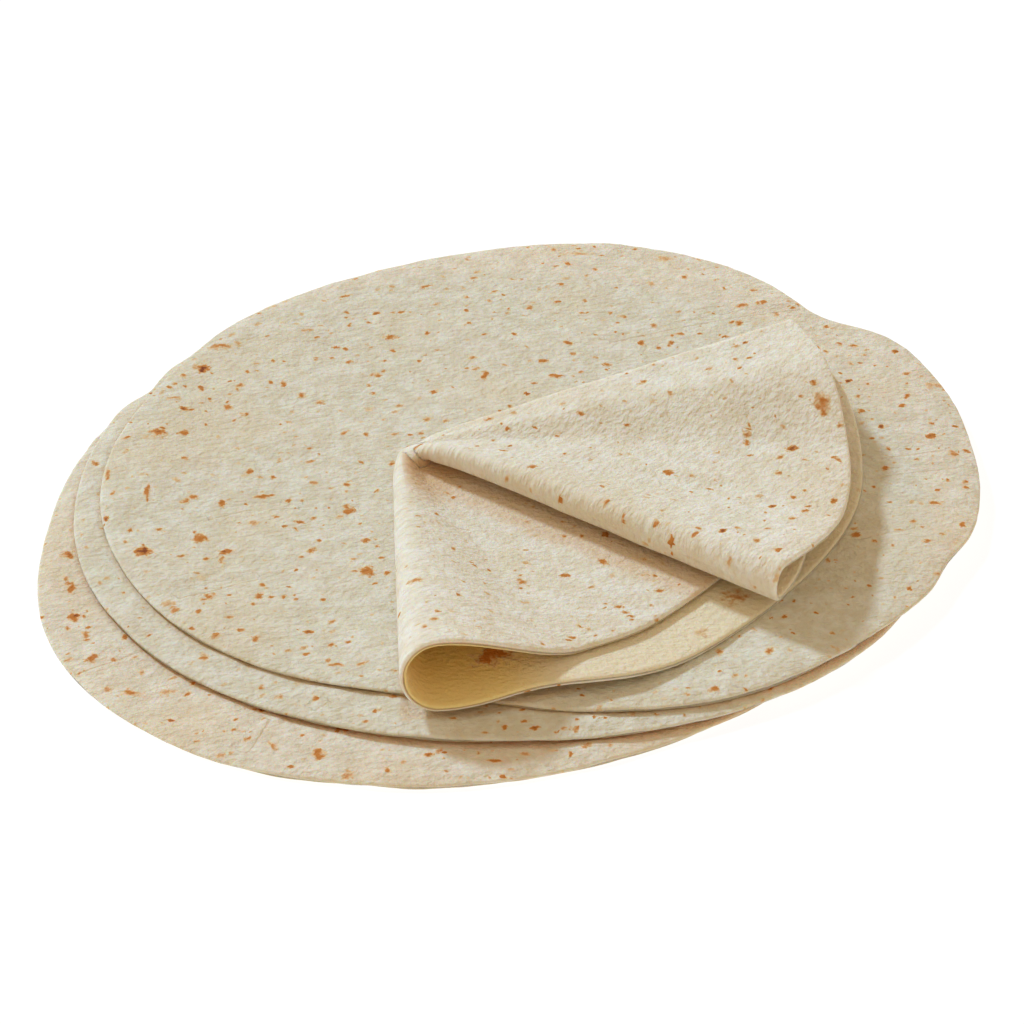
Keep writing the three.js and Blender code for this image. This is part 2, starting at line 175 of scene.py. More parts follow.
# A toast mark is (across in the photo, down in the photo, width, depth, heat from 0 to 1, turn).
TOAST_MARKS = {
    "top_round": [
        (260, 314, 2.2, 1.4, 0.6, 0), (222, 347, 7.2, 3.4, 0.6, 5), (203, 369, 3.6, 5, 1.0, 0),
        (183, 376, 2.2, 2.7, 0.6, 0), (201, 388, 2.4, 3.7, 0.8, 0), (256, 364, 2.5, 1.4, 0.5, 0),
        (283, 385, 2.2, 3.7, 0.65, 0), (237, 391, 1.8, 2.4, 0.6, 0), (173, 399, 4.7, 2.4, 0.45, 0),
        (161, 392, 1.8, 6, 0.3, 0), (245, 416, 3.3, 2.7, 0.7, 0), (227, 409, 2.7, 2, 0.5, 0),
        (157, 434, 5.5, 5.4, 0.85, 0), (127, 439, 2.9, 2.4, 0.6, 0), (183, 433, 2.5, 3.4, 0.75, -45),
        (185, 460, 2.2, 2, 0.6, -40), (108, 475, 1.6, 7, 0.5, 0),
        (113, 495, 2, 2.7, 0.75, 0), (147, 494, 1.6, 7.5, 0.7, 0), (194, 497, 2.9, 2.7, 0.7, 0),
        (143, 553, 5, 5.4, 0.9, 0), (201, 538, 4, 5.4, 0.65, 0),
        (222, 561, 1.8, 6, 0.55, 0), (202, 578, 3.6, 3.4, 0.25, 0), (175, 611, 2.5, 2.4, 0.6, 0),
        (168, 604, 4.4, 2.7, 0.35, 0), (215, 638, 3.3, 2, 0.55, 0), (391, 338, 4.4, 2.6, 0.7, 0),
        (426, 288, 4.2, 1.8, 0.65, 30), (344, 297, 3.6, 1.6, 0.55, 45), (378, 376, 2.6, 3.4, 0.6, 0),
        (435, 392, 4.2, 2.4, 0.55, 20), (484, 376, 2.6, 5, 0.8, 0), (427, 334, 2.4, 2.6, 0.65, 0),
        (336, 348, 2.6, 2.4, 0.7, -30), (308, 332, 3.6, 1.8, 0.5, 15), (556, 377, 4.6, 2.6, 0.7, 0),
        (543, 361, 3.4, 2.4, 0.75, -10), (526, 395, 2.2, 2.2, 0.75, 0), (577, 254, 9.5, 2.2, 0.35, 0),
        (664, 259, 5, 3.6, 0.4, 0), (642, 344, 2, 3, 0.75, 0), (671, 344, 2.2, 2.6, 0.55, 0),
        (623, 317, 3.4, 2.4, 0.6, 0), (561, 286, 2, 2, 0.6, 0), (557, 303, 2.6, 1.8, 0.65, 0),
        (763, 303, 2, 2.4, 0.8, 0), (792, 309, 2, 2, 0.6, 0), (725, 337, 2.5, 2, 0.65, 0),
        (894, 353, 2.8, 2.8, 0.8, 0), (849, 382, 2, 2.8, 0.95, -20), (861, 412, 2.2, 2.6, 0.85, -25),
        (881, 427, 2, 2.2, 0.85, 0), (907, 398, 1.6, 3.2, 0.7, -30), (902, 408, 2.6, 2.6, 0.8, 10),
        (931, 437, 2.8, 3, 0.9, -15), (930, 387, 3, 3, 0.4, 0), (939, 387, 2.2, 2.6, 0.4, 0),
        (953, 457, 3, 3, 0.55, 10), (885, 469, 2.4, 2.4, 0.7, -25), (935, 503, 3.8, 2.4, 0.65, 0),
        (963, 525, 2, 3.4, 0.6, 0), (898, 530, 3.6, 1.4, 0.45, 0), (249, 472, 2.6, 3, 0.85, 0),
        (263, 497, 5, 2.4, 0.6, 20), (367, 573, 4.6, 4.6, 0.8, 0), (349, 511, 3, 3.6, 0.75, 0),
        (308, 463, 3.6, 2, 0.5, 35), (366, 541, 2.6, 2.2, 0.6, -35), (335, 665, 4.4, 2, 0.55, -10),
        (362, 665, 2.4, 1.6, 0.55, 0), (263, 586, 2.4, 2.6, 0.55, 0), (216, 637, 2.6, 1.6, 0.65, -15),
    ],
    "middle_round": [
        (107, 579, 1.6, 2, 0.4, 0), (203, 659, 2.5, 2.4, 0.55, 0), (262, 688, 2, 2.6, 0.6, -35),
        (280, 698, 1.6, 2.8, 0.5, 0), (316, 700, 1.9, 2.8, 0.65, 0), (375, 711, 1.8, 2, 0.6, 0),
        (395, 698, 4, 1.6, 0.5, 0), (453, 720, 3.6, 1.8, 0.6, 15), (366, 722, 2, 1.4, 0.5, 0),
        (575, 731, 1.6, 1.8, 0.4, 0),
    ],
    "bottom_round": [
        (68, 557, 3.5, 4, 0.85, 0), (71, 590, 2.5, 4, 0.85, 0), (66, 581, 1.8, 2, 0.5, 0),
        (74, 617, 2.9, 4, 0.65, 0), (85, 635, 3.3, 3.4, 0.55, 0), (92, 659, 2.4, 4, 0.6, 0),
        (125, 639, 2, 2.4, 0.7, 0), (131, 693, 5.3, 3, 0.6, 0), (193, 682, 2.4, 2.7, 0.55, 0),
        (262, 708, 5.6, 3.4, 0.95, -15), (234, 731, 3.4, 1.6, 0.55, 0), (320, 755, 4.4, 5, 0.65, 0),
        (341, 730, 3, 3, 0.75, 0), (302, 737, 1.8, 1.8, 0.6, 0), (428, 755, 2.2, 2.4, 0.75, 0),
        (493, 761, 4, 1.6, 0.6, 0), (388, 771, 1.6, 2.4, 0.5, 0), (274, 748, 1.8, 3.2, 0.45, 20),
        (403, 763, 2, 1.6, 0.45, 0),
    ],
    "folded_round": [
        (822, 406, 5.4, 6.8, 0.5, 0), (826, 408, 1.2, 1.4, 1.0, 0), (736, 360, 2, 2, 0.65, 0),
        (750, 426, 2, 2, 0.6, 0), (747, 435, 3, 3.4, 0.4, 0), (775, 417, 2, 2, 0.55, 0),
        (669, 473, 2.9, 2.7, 0.65, -10), (814, 383, 2, 2.4, 0.65, 0), (804, 492, 2, 2, 0.6, 0),
        (834, 458, 2, 2, 0.6, 0), (731, 383, 1.8, 2, 0.45, 0), (718, 454, 1.9, 1.8, 0.55, 0),
        (560, 500, 1.8, 3, 0.6, 0), (656, 523, 2, 3.4, 0.55, 25), (623, 520, 1.6, 3.6, 0.6, 0),
        (672, 542, 2, 4.6, 0.7, 5), (602, 487, 1.6, 2, 0.55, 0), (778, 550, 2.6, 2.2, 0.7, 25),
        (762, 557, 2.6, 1, 0.55, 10), (740, 533, 2, 1.4, 0.6, 0), (675, 500, 2.2, 1.2, 0.55, -10),
        (459, 487, 1.6, 2, 0.5, 0), (453, 498, 1.6, 2, 0.55, 0), (436, 514, 1.6, 2, 0.45, 0),
        (565, 576, 2.9, 2.7, 0.55, 0), (475, 566, 1.8, 1.8, 0.55, 0), (459, 595, 1.8, 1.8, 0.55, 0),
        (425, 627, 1.8, 2, 0.5, 0), (438, 611, 1.6, 1.8, 0.5, 0), (518, 580, 1.8, 2, 0.5, 0),
        (572, 638, 3.4, 2, 0.6, 0), (632, 617, 2.2, 1.8, 0.6, 0), (644, 575, 2, 2, 0.5, 0),
        (655, 576, 1.6, 1.6, 0.6, 0), (678, 585, 2.4, 1.4, 0.65, 10), (479, 628, 1.8, 2, 0.45, 0),
        (735, 597, 8, 8, 0.4, 0), (701, 633, 3.6, 4.4, 0.36, 0), (495, 655, 11, 9, 0.62, 0),
    ],
}

# A small mark is (across in the photo, down in the photo, width).
SMALL_MARKS = {
    "top_round": [
        (476, 273, 3), (467, 298, 2), (469, 325, 2.2), (428, 380, 1.6), (427, 420, 2.6), (421, 435, 2.2),
        (400, 406, 2.6), (374, 394, 2.2), (320, 404, 2.8), (302, 396, 2.8), (332, 359, 2), (316, 359, 1.8),
        (366, 345, 1.8), (392, 314, 2), (392, 287, 2), (422, 315, 1.6), (347, 319, 2), (327, 332, 1.8),
        (410, 372, 1.6), (684, 277, 2.8), (543, 264, 1.5), (595, 271, 1.8), (521, 281, 1.8), (503, 296, 1.8),
        (529, 308, 2.8), (509, 310, 1.8), (495, 314, 1.6), (616, 289, 1.8), (679, 312, 1.8), (679, 335, 2.6),
        (573, 355, 2.4), (595, 358, 1.8), (606, 370, 1.8), (839, 344, 2.4), (864, 355, 1.8), (887, 368, 1.4),
        (875, 366, 1.4), (872, 420, 1.6), (872, 438, 1.6), (944, 403, 1.3), (948, 407, 1.2), (951, 454, 2.6),
        (966, 452, 2.6), (894, 463, 1.6), (917, 460, 1.5), (965, 484, 2), (873, 488, 2), (914, 522, 2.2),
        (921, 528, 2), (942, 536, 1.8), (927, 542, 2.2), (856, 535, 3), (313, 485, 2.6), (273, 478, 2),
        (348, 485, 3), (347, 507, 2.4), (318, 542, 1.9), (301, 559, 1.6), (295, 601, 1.8), (253, 605, 1.8),
        (229, 597, 1.6), (214, 595, 2.2), (254, 524, 2.8), (285, 528, 1.8), (241, 631, 2.2), (256, 639, 3),
        (306, 654, 2.2), (395, 672, 1.8), (687, 696, 1.8), (714, 691, 2.8), (720, 672, 1.6), (612, 702, 1.6),
        (583, 696, 1.6), (740, 638, 1.8), (771, 620, 1.6),
    ],
    "middle_round": [
        (525, 723, 1.5), (532, 731, 1.5), (564, 729, 2), (556, 734, 1.4), (577, 721, 1.5), (577, 728, 1.4),
        (594, 718, 1.6), (605, 719, 1.5), (656, 715, 1.6),
    ],
    "bottom_round": [(570, 754, 1.6), (570, 757, 1.4)],
    "folded_round": [
        (644, 382, 2.2), (653, 365, 1.6), (626, 374, 1.5), (670, 394, 2.4), (618, 443, 1.8), (620, 455, 1.6),
        (645, 465, 1.4), (779, 474, 2.6), (648, 495, 1.6), (668, 490, 1.5), (692, 492, 1.5), (709, 489, 1.6),
        (718, 481, 1.5), (723, 486, 1.5), (729, 499, 1.6), (743, 504, 1.8), (731, 508, 1.5), (764, 521, 1.8),
        (766, 513, 1.5), (735, 527, 1.5), (720, 545, 1.6), (699, 529, 2), (841, 462, 1.8), (644, 559, 2),
        (649, 591, 1.5), (651, 606, 1.5), (605, 608, 1.5), (579, 610, 1.5), (580, 627, 2), (583, 622, 1.5),
        (612, 631, 1.5),
    ],
}
SMALL_MARK_DEPTH = 0.95
SMALL_MARK_HEAT = 0.52

# A crease is the photo points that it runs through.
CREASES = {
    "top_round": [
        [(610, 344), (660, 333), (720, 321), (800, 311)],
        [(870, 459), (900, 457), (945, 452), (974, 447)],
        [(868, 480), (920, 473), (974, 470)],
        [(150, 613), (178, 600), (260, 580)],
        [(210, 520), (250, 511), (300, 509)],
        [(855, 540), (890, 533)],
    ],
    "bottom_round": [[(77, 675), (110, 664), (150, 650)], [(250, 752), (262, 735), (270, 722)]],
    "middle_round": [[(300, 722), (316, 712), (330, 703)]],
    "folded_round": [],
}
CREASE_REACH = 4.0
MARK_EDGE = 1.7
NO_MARK = (0.0, 0.0, 5.0)


def ease(value):
    value = np.clip(value, 0, 1)
    return value * value * (3 - 2 * value)


def rim_radius(bread, angle):
    """The distance from a round's middle to its rim, in the direction of an angle in degrees."""
    radius = bread["radius"] + sum(
        height * np.cos(np.radians(lobes * angle - crest)) for lobes, height, crest in bread["waves"]
    )
    for direction, depth, width in bread["dents"]:
        turn = (angle - direction + 180) % 360 - 180
        radius = radius - depth * np.exp(-((turn / width) ** 2))
    return radius


def beyond_rim(bread, x, y):
    """How far outside a flat round's rim the point x, y lies."""
    dx = x - bread["centre"][0]
    dy = y - bread["centre"][1]
    return np.hypot(dx, dy) - rim_radius(bread, np.degrees(np.arctan2(dy, dx)))


def swell(x, y):
    across = np.sin(x / SWELL_LENGTH[0] + y / (2 * SWELL_LENGTH[1]) + SWELL_PHASE)
    along = np.cos(y / SWELL_LENGTH[1] - x / (3 * SWELL_LENGTH[0]))
    return SWELL_HEIGHT * (1 + across * along)


def underside(level, x, y):
    """The height of a flat round's underside above the point x, y."""
    if level == 0:
        return np.zeros_like(x)
    height = swell(x, y)
    for bread in list(FLAT_ROUNDS.values())[:level]:
        droop = ease((beyond_rim(bread, x, y) - DROOP_START) / DROOP_SPAN)
        height = height + LAYER * (1 - DROOP_SHARE * droop)
    return height


def heading(angle):
    return np.array([math.cos(math.radians(angle)), math.sin(math.radians(angle)), 0.0])


def left_of(angle):
    return heading(angle + 90)


def folded_cover(x, y):
    """How far inside the folded round's outline the point x, y lies, or below zero outside it."""
    place = np.stack([x - CORNER[0], y - CORNER[1]], -1)
    from_left = place @ left_of(LEFT_FOLD)[:2]
    from_rear = -(place @ left_of(REAR_FOLD)[:2])
    from_rim = FOLDED_ROUND["radius"] - np.hypot(place[..., 0], place[..., 1])
    return np.minimum(np.minimum(from_left, from_rear), from_rim)


# ---- Skins


def mesh_of(name, points, faces, values):
    """A mesh from points in millimetres and lists of corners, with its named values kept at each point."""
    mesh = bpy.data.meshes.new(name)
    mesh.from_pydata(((points - STACK_MIDDLE) * MM).tolist(), [], faces)
    for title, data in values.items():
        kind, entry = ("FLOAT", "value") if data.ndim == 1 else ("FLOAT_VECTOR", "vector")
        mesh.attributes.new(title, kind, "POINT").data.foreach_set(entry, data.astype(np.float32).ravel())
    mesh.update()
    return mesh


def show(piece):
    bpy.context.scene.collection.objects.link(piece)


def disc_grid(cells):
    """A square grid pressed into a round: the share of the way to the rim, and the direction."""
    line = np.linspace(-1, 1, cells + 1)
    a, b = np.meshgrid(line, line, indexing="ij")
    wide = np.abs(a) >= np.abs(b)
    main = np.where(wide, a, b)
    other = np.where(wide, b, a)
    ratio = np.divide(other, main, out=np.zeros_like(a), where=main != 0)
    angle = np.where(wide, 45 * ratio, 90 - 45 * ratio) + np.where(main < 0, 180, 0)
    share = np.abs(main)
    return share * (1 + RIM_CROWDING) - RIM_CROWDING * share**2, angle


def grid_border(cells):
    """The grid's outermost points in order round the rim, counted row by row."""
    count = cells + 1
    index = np.arange(count * count).reshape(count, count)
    return np.concatenate([index[-1, :-1], index[::-1, -1][:-1], index[0, ::-1][:-1], index[:-1, 0]])


def flat_round_mesh(name, level):
    """A flat round: a fine grid on each face, joined by a half-round rim."""
    bread = FLAT_ROUNDS[name]
    share, angle = disc_grid(FLAT_CELLS)
    border = grid_border(FLAT_CELLS)
    half = THICKNESS / 2
    rim = rim_radius(bread, angle)

    def place(distance, turn):
        x = bread["centre"][0] + distance * np.cos(np.radians(turn))
        y = bread["centre"][1] + distance * np.sin(np.radians(turn))
        return x, y

    def soft_edge(distance, edge):
        return RIM_FALL * (1 - ease((edge - distance) / RIM_FALL_SPAN)) ** 2

    distance = (share * (rim - half)).ravel()
    turn = angle.ravel()
    x, y = place(distance, turn)
    floor = underside(level, x, y)
    fall = soft_edge(distance, rim.ravel())
    upper = np.stack([x, y, floor + THICKNESS - fall], 1)
    lower = np.stack([x, y, floor], 1)
    parts = [upper, lower]
    side = [np.ones(len(x)), -np.ones(len(x))]
    for step in range(1, RIM_STEPS):
        lean = math.pi * (0.5 - step / RIM_STEPS)
        edge = rim.ravel()[border]
        ring_x, ring_y = place(edge - half + half * math.cos(lean), turn[border])
        ring_fall = fall[border] * (0.5 + 0.5 * math.sin(lean))
        ring_z = underside(level, ring_x, ring_y) + half + half * math.sin(lean) - ring_fall
        parts.append(np.stack([ring_x, ring_y, ring_z], 1))
        side.append(np.full(len(border), math.sin(lean)))
    points = np.concatenate(parts)
    side = np.concatenate(side)

    count = FLAT_CELLS + 1
    index = np.arange(count * count).reshape(count, count)
    corners = [index[:-1, :-1], index[1:, :-1], index[1:, 1:], index[:-1, 1:]]
    quads = np.stack([corner.ravel() for corner in corners], 1)
    faces = [quads, quads[:, ::-1] + count * count]
    rings = [border] + [
        2 * count * count + step * len(border) + np.arange(len(border)) for step in range(RIM_STEPS - 1)
    ] + [border + count * count]
    for above, below in zip(rings, rings[1:]):
        faces.append(np.stack([np.roll(above, -1), above, below, np.roll(below, -1)], 1))
    faces = np.concatenate(faces)

    plan_x = points[:, 0]
    plan_y = points[:, 1]
    below_face = (side < 0).astype(float)
    covers = [-beyond_rim(other, plan_x, plan_y) for other in list(FLAT_ROUNDS.values())[level + 1:]]
    covers.append(folded_cover(plan_x, plan_y))
    bare = 1 - ease((np.max(covers, axis=0) + 1) / 4)
    sheet = np.stack([plan_x + 400 * level, plan_y + 400 * below_face, np.zeros_like(plan_x)], 1)
    lift = np.zeros_like(points)
    lift[:, 2] = bare
    relief = np.where(side > -0.2, 1.0, 0.0) if level == 0 else np.ones(len(points))
    # Painted shade: a dark contact line beside each round above, and a little on the underside
    contact_shade = CONTACT_PAINTED_SHADE["share"] * (1 - ease(-np.max(covers, axis=0) / CONTACT_PAINTED_SHADE["reach"]))
    values = {
        "sheet": sheet * MM,
        "lift": lift,
        "relief": relief * (0.25 + 0.75 * bare),
        "inner": below_face,
        "nook": np.maximum(contact_shade, CONTACT_PAINTED_SHADE["underside"] * ease(-side)),
    }
    return points, faces, values


def fold_rays(angle, outward, inset, radius, width, height, floor, rise, count):
    """The rays of a fold turn over through half a circle, from its bottom to its top."""
    turn = np.pi * (np.linspace(0, 1, count + 1) - 0.5)
    back = 1 - np.cos(turn)
    up = 1 + np.sin(turn)
    start = -np.outer(inset + radius * back, outward)
    start[:, 2] = floor + radius * up
    run = heading(angle) - np.outer(width * back, outward)
    run[:, 2] = rise + height * up
    return start, run


def flap_rays(before, after, count, slope):
    """Between two folds the rays turn evenly from the end of one to the start of the other."""
    share = np.linspace(0, 1, count + 1)
    start = before[0][-1] + np.outer(share, after[0][0] - before[0][-1])
    ends = [before[1][-1], after[1][0]]
    angles = [math.degrees(math.atan2(end[1], end[0])) for end in ends]
    lengths = [math.hypot(end[0], end[1]) for end in ends]
    angle = angles[0] + share * (angles[1] - angles[0])
    length = lengths[0] + share * (lengths[1] - lengths[0])
    run = np.stack([length * np.cos(np.radians(angle)), length * np.sin(np.radians(angle)), slope(angle)], 1)
    return start, run


def curl(angle):
    """How steeply the lowest flap rises from the corner in the direction of an angle."""
    rise = ease((angle - CURL_START) / (CURL_PEAK - CURL_START))
    sink = 1 - (1 - CURL_REAR_SHARE) * ease((angle - CURL_PEAK) / (REAR_FOLD - CURL_PEAK))
    along = np.clip((angle - LEFT_FOLD - FRONT_LIFT["start"]) / FRONT_LIFT["span"], 0, 1)
    return CURL_RISE * rise * sink + FRONT_LIFT["height"] * np.sin(np.pi * along) ** 2


def eased_steps(first, last, count):
    return first + (last - first) * ease(np.linspace(0, 1, count + 1))


def sheet_rays():
    """All rays of the folded round in order, each with its shares of both puffs and of the crumple."""
    floor = THICKNESS / 2
    radius = LAYER / 2
    left = fold_rays(
        LEFT_FOLD, -left_of(LEFT_FOLD), 0, radius, LEFT_FLARE["width"], LEFT_FLARE["height"],
        floor, 0, ROLL_STEPS["left"],
    )
    front = fold_rays(
        FRONT_FOLD, -left_of(FRONT_FOLD), 0, radius, FRONT_FLARE["width"], FRONT_FLARE["height"],
        floor + 2 * LAYER, curl(FRONT_FOLD) + LOWER_SPREAD + INNER_SPREAD, ROLL_STEPS["front"],
    )
    rear_inner = fold_rays(
        REAR_FOLD, left_of(REAR_FOLD), LAYER, radius, REAR_FLARE_WIDTH, INNER_SPREAD / 2,
        floor + LAYER, curl(REAR_FOLD) + LOWER_SPREAD, ROLL_STEPS["rear_inner"],
    )
    spread = (LOWER_SPREAD + INNER_SPREAD + UPPER_SPREAD) / 2
    rear_outer = fold_rays(
        REAR_FOLD, left_of(REAR_FOLD), 0, 3 * radius, REAR_FLARE_WIDTH, spread,
        floor, curl(REAR_FOLD), ROLL_STEPS["rear_outer"],
    )
    rear_outer = (rear_outer[0][::-1], rear_outer[1][::-1])
    left_end = LEFT_FOLD + math.degrees(math.atan(LEFT_FLARE["width"]))
    front_end = FRONT_FOLD + math.degrees(math.atan(FRONT_FLARE["width"]))

    def second_slope(angle):
        away = ease((angle - left_end) / LEFT_ROLL_SPAN)
        return curl(angle) + 2 * LEFT_FLARE["height"] * (1 - away) + LOWER_SPREAD * away

    def third_slope(angle):
        return curl(angle) + LOWER_SPREAD + INNER_SPREAD

    def top_slope(angle):
        away = ease((angle - front_end) / FRONT_ROLL_SPAN)
        return third_slope(angle) + 2 * FRONT_FLARE["height"] * (1 - away) + UPPER_SPREAD * away

    sections = [
        flap_rays(rear_outer, left, FLAP_STEPS["lower"], curl),
        left,
        flap_rays(left, rear_inner, FLAP_STEPS["second"], second_slope),
        rear_inner,
        flap_rays(rear_inner, front, FLAP_STEPS["third"], third_slope),
        front,
        flap_rays(front, rear_outer, FLAP_STEPS["top"], top_slope),
        rear_outer,
    ]
    lower = FRONT_PUFF["lower_share"]
    rear = FRONT_PUFF["rear_share"]
    front_shares = [(0, 0), (0, 0), (0, 0), (0, 0), (0, lower), (lower, 1), (1, rear), (rear, 0)]
    start = np.concatenate([section[0][:-1] for section in sections])
    run = np.concatenate([section[1][:-1] for section in sections])
    front_puff = np.concatenate([
        eased_steps(first, last, len(section[0]) - 1)[:-1]
        for section, (first, last) in zip(sections, front_shares)
    ])
    second_angle = np.degrees(np.arctan2(sections[2][1][:, 1], sections[2][1][:, 0]))
    left_puff = np.zeros(len(front_puff))
    first = FLAP_STEPS["lower"]
    second = first + ROLL_STEPS["left"]
    left_puff[first:second] = eased_steps(0, 1, ROLL_STEPS["left"])[:-1]
    fading = 1 - ease((second_angle - left_end) / LEFT_PUFF["span"])
    left_puff[second:second + FLAP_STEPS["second"]] = fading[:-1]
    free = np.concatenate([
        np.full(len(section[0]) - 1, share)
        for section, share in zip(sections, (0.15, 0.3, 0.35, 0.0, 0.0, 0.6, 1.0, 0.3))
    ])
    return start, run, front_puff, left_puff, free


def folded_round_mesh():
    """The folded round: rays from the corner carry both faces of one sheet out to its rim."""
    start, run, front_puff, left_puff, free = sheet_rays()
    tips = start + run * FOLDED_ROUND["radius"]
    sides = np.linalg.norm(np.roll(tips, -1, axis=0) - tips, axis=1)
    angle = REAR_FOLD - 360 * np.concatenate([[0], np.cumsum(sides)[:-1]]) / sides.sum()
    offset = CORNER_OFFSET * np.cos(np.radians(angle - CORNER_OFFSET_DIRECTION))
    reach = rim_radius(FOLDED_ROUND, angle) + offset
    run = run / np.linalg.norm(run, axis=1)[:, None]
    blur = np.ones(15) / 15
    padded = np.concatenate([free[-7:], free, free[:7]])
    free = np.convolve(padded, blur, "valid")

    heading_of_ray = np.degrees(np.arctan2(run[:, 1], run[:, 0]))
    second = np.zeros(len(run))
    first = FLAP_STEPS["lower"] + ROLL_STEPS["left"]
    second[first:first + FLAP_STEPS["second"]] = 1
    # Painted shade: beside the left crest near the corner, in the flap's shadow on the second layer, and
    # inside the rolled loop
    below_fold = np.sin(np.radians(FRONT_FOLD - heading_of_ray))
    beside_crest = heading_of_ray - LEFT_FOLD - CORNER_PAINTED_SHADE["turn_start"]
    beside_crest = second * ease(beside_crest / CORNER_PAINTED_SHADE["turn_span"])
    column = np.arange(len(run)) - FLAP_STEPS["lower"] - ROLL_STEPS["left"] / 2
    rolled_shade = 1 - ease((np.abs(column) - ROLL_PAINTED_SHADE_REACH) / ROLL_PAINTED_SHADE_REACH)
    # Painted light: the lowest flap's inner face is kept pale towards its right rim, where it catches the
    # lamp
    lower = np.arange(len(run)) < FLAP_STEPS["lower"]
    pale = lower * ease((heading_of_ray - PAINTED_LIGHT_RIM["start"]) / PAINTED_LIGHT_RIM["span"])
    inner_share = 1 - PAINTED_LIGHT_RIM["share"] * pale

    half = THICKNESS / 2
    share = np.linspace(0, 1, SHEET_ROWS + 1)
    share = share * (1 - ROW_CROWDING) + ROW_CROWDING * share**2
    leans = np.linspace(math.pi / 2, -math.pi / 2, RIM_STEPS + 1)[1:-1]
    profile = [(part, part * half, 1.0) for part in share]
    profile += [(1.0, half * (1 - math.cos(lean)), math.sin(lean)) for lean in leans]
    profile += [(part, part * half, -1.0) for part in share[::-1]]
    points = []
    sheet = []
    inner = []
    lift = []
    relief = []
    nook = []
    for part, inset, side in profile:
        distance = SHEET_START + part * (reach - SHEET_START) - inset
        beyond = np.maximum(0, distance - SHEET_START)
        middle = start + run * distance[:, None]
        crest = (1 - np.exp(-beyond / FRONT_PUFF["rise"])) * np.exp(-beyond / FRONT_PUFF["fade"])
        middle[:, 2] += FRONT_PUFF["up"] * front_puff * crest
        middle[:, 2] += LEFT_PUFF["up"] * left_puff * np.exp(-beyond / LEFT_PUFF["fade"])
        along = np.roll(middle, -1, axis=0) - np.roll(middle, 1, axis=0)
        normal = np.cross(along, run)
        normal /= np.linalg.norm(normal, axis=1)[:, None]
        point = middle + normal * (side * half)
        point[:, 0] += CORNER[0]
        point[:, 1] += CORNER[1]
        point[:, 2] += 3 * LAYER + swell(point[:, 0], point[:, 1])
        points.append(point)
        inside = 1.0 if side > 0 else 0.0
        sheet.append(np.stack([
            distance * np.cos(np.radians(angle)) + 1600,
            distance * np.sin(np.radians(angle)) + 400 * inside,
            np.zeros_like(angle),
        ], 1))
        inner.append(inside * inner_share)
        outward = normal * np.sign(normal[:, 2:3] + 1e-9)
        lift.append(outward * (free * ease((distance - 12) / 30))[:, None])
        relief.append(ease((distance - 3) / 6))
        # The outer face gets painted shade near the corner and under the flap; the inner face gets it inside
        # the roll
        if side < 0:
            near_corner = 1 - ease((distance - CORNER_PAINTED_SHADE["start"]) / CORNER_PAINTED_SHADE["span"])
            under_flap = 1 - ease((distance * below_fold - FLAP_PAINTED_SHADE["start"]) / FLAP_PAINTED_SHADE["span"])
            nook.append(np.maximum(beside_crest * near_corner, FLAP_PAINTED_SHADE["share"] * second * under_flap))
        else:
            nook.append(rolled_shade)
    columns = len(angle)
    total = len(profile)
    index = np.arange(total * columns).reshape(total, columns)
    after = np.roll(index, -1, axis=0)
    quads = np.stack([index, np.roll(index, -1, axis=1), np.roll(after, -1, axis=1), after], 2).reshape(-1, 4)
    values = {
        "sheet": np.concatenate(sheet) * MM,
        "lift": np.concatenate(lift),
        "relief": np.concatenate(relief),
        "inner": np.concatenate(inner),
        "nook": np.concatenate(nook),
    }
    return np.concatenate(points), quads, values


# ---- Marks seen in the photograph


def sight_line(across, down):
    """The direction from the eye through a point of the photograph."""
    forward = (AIM - EYE).normalized()
    right = forward.cross(Vector((0, 0, 1))).normalized()
    up = right.cross(forward)
    x = (across - PHOTO_SIZE / 2) / FOCAL_PIXELS
    y = (PHOTO_SIZE / 2 - down) / FOCAL_PIXELS
    return (forward + right * x + up * y).normalized()


def seen_point(tree, points, faces, across, down):
    """Where a sight line first meets a skin, and the skin's nearest point."""
    hit, _, face, _ = tree.ray_cast(EYE, sight_line(across, down))
    if hit is None:
        return None, None
    place = np.array(hit) / MM + STACK_MIDDLE
    near = faces[face]
    nearest = near[np.argmin(np.linalg.norm(points[near] - place, axis=1))]
    return place, nearest


